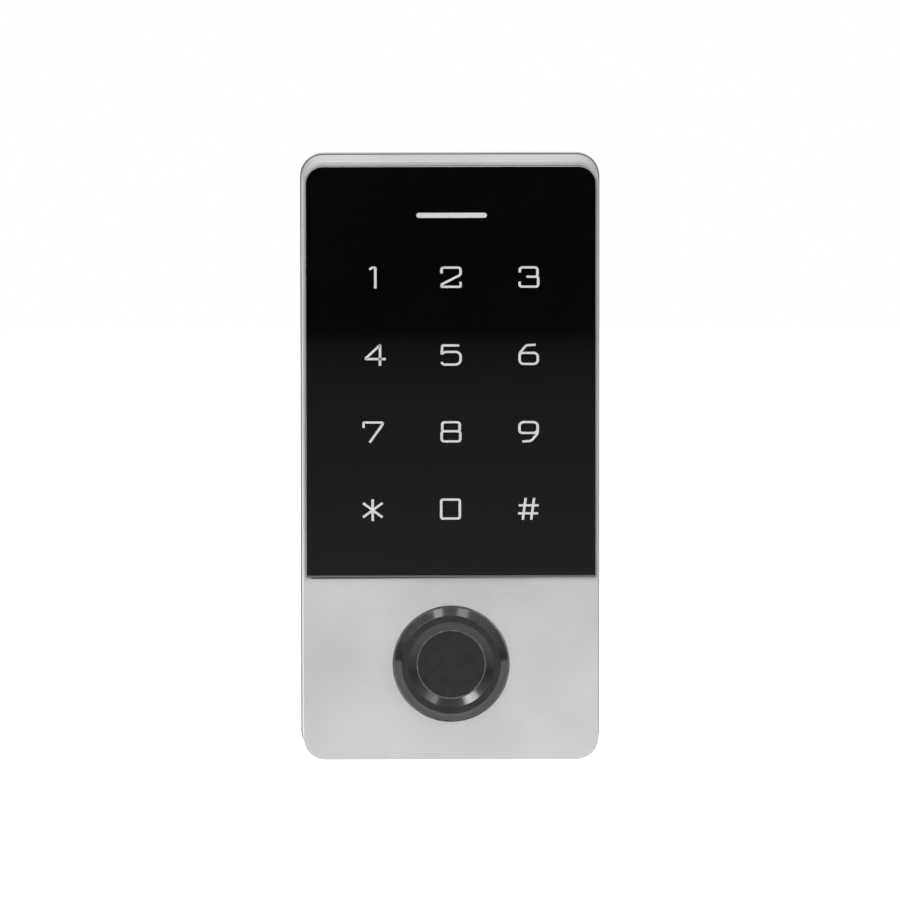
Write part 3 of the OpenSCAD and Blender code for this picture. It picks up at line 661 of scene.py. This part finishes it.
bezel = bmesh.new()
corners = [((BORE, SHELF), 0), ((BORE, DISC), 0.05), ((LAND_IN, LAND), 0.14), ((LAND_OUT, LAND), 0.16),
           ((SEEN_R, FACE + BEZEL_LIP), 0.22), ((SEEN_R, SEAT), 0.06), ((BARREL_R, SEAT), 0.1),
           ((BARREL_R, BARREL_BACK), 0.3), ((BARREL_R - BARREL_WALL, BARREL_BACK), 0.15),
           ((BARREL_R - BARREL_WALL, SHELF), 0.15)]
lathe(bezel, fillet(*zip(*corners), 5), on_face(*SENSOR), 160)
make(bezel, "sensor_bezel_ring", TERMINAL, "bezel_black", ["sensor_bezel"])

disc = bmesh.new()
lathe(disc, fillet([(0, SHELF), (DISC_R, SHELF), (DISC_R, DISC), (0, DISC)], [0, 0.1, 0.12, 0], closed=False),
      on_face(*SENSOR))
make(disc, "sensing_disc", TERMINAL, "sensor_pad", ["sensor_disc"])

GLOW_IN = DISC_R + 0.03                  # the ring just clears the disc
ring = bmesh.new()
lathe(ring, fillet([(GLOW_IN, SHELF), (RING_R, SHELF), (RING_R, DISC), (GLOW_IN, DISC)],
                   [0, 0, 0.06, 0.06], 3), on_face(*SENSOR))
make(ring, "sensor_glow_ring", TERMINAL, "ring_plastic", ["sensor_light_ring"])


# ---- grommet, bracket and lock screw ------------------------------------------

grommet_low, grommet_high = mm_box("cable_grommet")
GROMMET_Z = (grommet_low[2] + grommet_high[2]) / 2
FLANGE = (grommet_high[0] - grommet_low[0]) / 2
WAIST, HOLE = FLANGE - 1.5, FLANGE - 3.0
BACK, LIP = -grommet_high[1], -grommet_low[1]
FLOOR_BACK, FLOOR_FRONT = BACK + 1.4, LIP - 0.9
grommet = bmesh.new()
corners = [((HOLE, BACK), 0.4), ((FLANGE, BACK), 0.45), ((FLANGE, FLOOR_BACK), 0.2),
           ((WAIST, FLOOR_BACK), 0.1), ((WAIST, FLOOR_FRONT), 0.1), ((FLANGE, FLOOR_FRONT), 0.15),
           ((FLANGE - 0.6, LIP), 0.25), ((HOLE, LIP), 0.3)]
lathe(grommet, fillet(*zip(*corners), 4), on_face(0, GROMMET_Z), 96)
make(grommet, "inlet_grommet", TERMINAL, "seal_rubber", ["cable_grommet"])

bracket = cad_copy("wall_bracket")
soften(bracket, 0.14, lambda x, z, out, edge: True)
make(bracket, "hook_bracket", BRACKET, "bracket_steel", ["wall_bracket"])

screw_low, screw_high = mm_box("lock_screw")
SCREW_X, SCREW_OUT = centre("lock_screw")[0], -centre("lock_screw")[1]
HEAD_R = (screw_high[0] - screw_low[0]) / 2
HEAD_H, SHANK_R, SOCKET_R, SOCKET_DEEP = 1.6, 1.5, 1.2, 1.0
LENGTH = screw_high[2] - screw_low[2]
THREAD_PITCH, THREAD_DEEP = 0.5, 0.16
CREST = 1.25                             # over 1 leaves the thread's crests flat
RUN_IN, RUN_OUT = 0.4, 0.5               # the thread deepens and fades over these lengths
END_CHAMFER = 0.35
SEGMENTS = 48
ROWS_PER_TURN = 8
ROWS = int((LENGTH - HEAD_H) / THREAD_PITCH * ROWS_PER_TURN)
SOCKET_SIDES = 6
PER_SIDE = SEGMENTS // SOCKET_SIDES
HEAD_RINGS = ((HEAD_R - 0.35, 0.0), (HEAD_R - 0.12, 0.08), (HEAD_R, 0.32), (HEAD_R, HEAD_H - 0.1),
              (HEAD_R - 0.1, HEAD_H))


def under(a, b, along):
    """place() for the lock screw, whose axis points up from the lower end of its head."""
    return Vector(((SCREW_X + a) * MM, -(SCREW_OUT + b) * MM, (screw_low[2] + along) * MM))


def thread_radius(along, turn):
    """Radius of the threaded shank at a height and a share of a turn."""
    phase = (along / THREAD_PITCH - turn) % 1.0
    tooth = 1.0 - abs(2 * phase - 1.0)
    fade = min(1.0, (LENGTH - along) / RUN_OUT, max(0.0, (along - HEAD_H) / RUN_IN))
    groove = THREAD_DEEP * (1 - min(1.0, tooth * CREST)) * fade
    return SHANK_R - groove - max(0.0, END_CHAMFER - (LENGTH - along))


def thread_ring(bm, along):
    ring = []
    for i in range(SEGMENTS):
        radius, angle = thread_radius(along, i / SEGMENTS), 2 * math.pi * i / SEGMENTS
        ring.append(bm.verts.new(under(radius * math.cos(angle), radius * math.sin(angle), along)))
    return ring


def socket_corner(i):
    """The socket's corner that the head's vertex i is joined to."""
    return socket[0][((i + PER_SIDE // 2) // PER_SIDE) % SOCKET_SIDES]


screw = bmesh.new()
thread = [thread_ring(screw, HEAD_H + (LENGTH - HEAD_H) * row / ROWS) for row in range(ROWS + 1)]
for low, high in zip(thread, thread[1:]):
    stitch(screw, low, high)
screw.faces.new(thread[-1])
socket = [round_ring(screw, SOCKET_R, along, SOCKET_SIDES, under) for along in (0.0, SOCKET_DEEP)]
stitch(screw, *socket)
screw.faces.new(socket[1])
head = [round_ring(screw, radius, along, SEGMENTS, under) for radius, along in HEAD_RINGS]
for low, high in zip(head, head[1:]):
    stitch(screw, low, high)
stitch(screw, thread[0], head[-1])
for i in range(SEGMENTS):
    j = (i + 1) % SEGMENTS
    corner, following = socket_corner(i), socket_corner(j)
    if corner is following:
        screw.faces.new((head[0][i], head[0][j], corner))
    else:
        screw.faces.new((head[0][i], head[0][j], following, corner))
make(screw, "security_screw", SCREW, "lock_steel", ["lock_screw"])


# ---- carried-over CAD nodes ---------------------------------------------------

for entry in frame["record"]["subparts"]:
    node = frame["nodes"].get(entry["node"])
    if node is None:
        continue
    node.data.materials.clear()
    node.data.materials.append(MATERIALS[entry["material_slot"]])


# ---- floor, camera, lights ----------------------------------------------------

FLOOR_Z = case_low[2] * MM - 0.055
FLOOR_R, FLOOR_T = 1.71, 0.01
FLOOR_PAINTED_SHADE = ((-2.0, -1.35), (0.11, 0.29))  # by Y: painted shade, the floor's colour darker close to the camera
FLOOR_PAINTED_GLOW = (-0.30, 0.0)                # by Y: painted glow, the floor's emission makes it white behind the object
SKY_POWER = 1.35

floor = bmesh.new()
lathe(floor, [(0, 0), (FLOOR_R, 0), (FLOOR_R, -FLOOR_T), (0, -FLOOR_T)],
      lambda a, b, along: Vector((a, b, FLOOR_Z + along)), 160)
bmesh.ops.recalc_face_normals(floor, faces=floor.faces)
floor_mesh = bpy.data.meshes.new("floor")
floor.to_mesh(floor_mesh)
floor.free()
floor_object = bpy.data.objects.new("floor", floor_mesh)
bpy.context.scene.collection.objects.link(floor_object)


def floor_with_painted_light():
    """Grey in front of the object and darkening toward the camera as painted shade, with a painted glow of
    emission making it white behind it.
    """
    material = bpy.data.materials.new("floor_with_painted_light")
    material.use_nodes = True
    tree = material.node_tree
    shader = tree.nodes["Principled BSDF"]
    place = tree.nodes.new("ShaderNodeTexCoord")
    split = tree.nodes.new("ShaderNodeSeparateXYZ")
    tree.links.new(place.outputs["Object"], split.inputs["Vector"])
    # painted shade: the floor's base colour falls off toward the camera
    shade = map_range(tree, split.outputs["Y"], *FLOOR_PAINTED_SHADE, smooth=True)
    # painted glow: emission makes the floor white behind the object
    glow = map_range(tree, split.outputs["Y"], FLOOR_PAINTED_GLOW, smooth=True)
    feed(tree, shader, {"Base Color": shade, "Roughness": 0.9, "Specular IOR Level": 0.1,
                        "Emission Color": (1, 1, 1, 1), "Emission Strength": glow})
    return material


def studio():
    """A world that lights the object dimly from above and looks white to the camera."""
    world = bpy.data.worlds.new("studio")
    world.use_nodes = True
    tree = world.node_tree
    toward = tree.nodes.new("ShaderNodeTexCoord")
    height = tree.nodes.new("ShaderNodeSeparateXYZ")
    tree.links.new(toward.outputs["Generated"], height.inputs["Vector"])
    sky = colour_ramp(tree, height.outputs["Z"], ((0.0, (0.02, 0.02, 0.02)), (0.9, (0.5, 0.5, 0.5))))
    dim = tree.nodes["Background"]
    feed(tree, dim, {"Color": sky, "Strength": SKY_POWER})
    white = tree.nodes.new("ShaderNodeBackground")
    feed(tree, white, {"Color": (1, 1, 1, 1), "Strength": 1.0})
    seen = tree.nodes.new("ShaderNodeLightPath")
    mix = tree.nodes.new("ShaderNodeMixShader")
    feed(tree, mix, {0: seen.outputs["Is Camera Ray"], 1: dim.outputs["Background"],
                     2: white.outputs["Background"]})
    feed(tree, tree.nodes["World Output"], {"Surface": mix.outputs["Shader"]})
    return world


floor_mesh.materials.append(floor_with_painted_light())
bpy.context.scene.world = studio()


def lamp(name, place, target, width, height, power):
    """A soft rectangular light that the camera doesn't see."""
    light = bpy.data.lights.new(name, "AREA")
    light.shape = "RECTANGLE"
    light.size, light.size_y = width, height
    light.energy = power
    holder = bpy.data.objects.new(name, light)
    bpy.context.scene.collection.objects.link(holder)
    holder.location = place
    holder.rotation_euler = (Vector(target) - Vector(place)).to_track_quat("-Z", "Y").to_euler()
    holder.visible_camera = False


lamp("left_strip", (-0.44, -0.52, 1.05), (-0.30, 0.03, 0), 0.24, 1.25, 4.8)
lamp("right_strip", (0.44, -0.52, 1.05), (0.30, 0.03, 0), 0.30, 1.25, 3.9)
lamp("left_panel", (-0.56, -0.86, 0.62), (0, 0, 0), 0.56, 0.24, 4.4)
lamp("right_panel", (0.56, -0.86, 0.62), (0, 0, 0), 0.46, 0.22, 0.5)
lamp("left_light", (-1.3, -0.75, 0.95), (0, 0, 0), 0.8, 0.9, 5.0)
lamp("right_light", (1.3, -0.75, 0.85), (0, 0, 0), 0.8, 0.9, 8.0)
lamp("top_light", (0.0, 0.1, 1.1), (0, 0, 0), 0.7, 0.5, 0.3)
lamp("back_light", (0.0, 1.5, 0.9), (0, 0, 0), 2.8, 0.8, 1.7)

bpy.context.scene.view_settings.view_transform = "Standard"
DISTANCE = 3.0                           # camera from its target, in metres
AZIMUTH, ELEVATION, ROLL = -0.7, 5.9, math.radians(-0.06)
LENS, SENSOR_W = 492.6, 36.0
camera = bpy.data.cameras.new("camera")
camera.lens, camera.sensor_width = LENS, SENSOR_W
camera.clip_start, camera.clip_end = 0.1, 50.0
eye = bpy.data.objects.new("camera", camera)
bpy.context.scene.collection.objects.link(eye)
target = at(-0.23, 2.74, FACE)
azimuth, elevation = math.radians(AZIMUTH), math.radians(ELEVATION)
eye.location = target + DISTANCE * Vector((math.sin(azimuth) * math.cos(elevation),
                                           -math.cos(azimuth) * math.cos(elevation), math.sin(elevation)))
aim = (target - eye.location).to_track_quat("-Z", "Y")
eye.rotation_euler = (aim @ Quaternion((0, 0, 1), ROLL)).to_euler()
bpy.context.scene.camera = eye
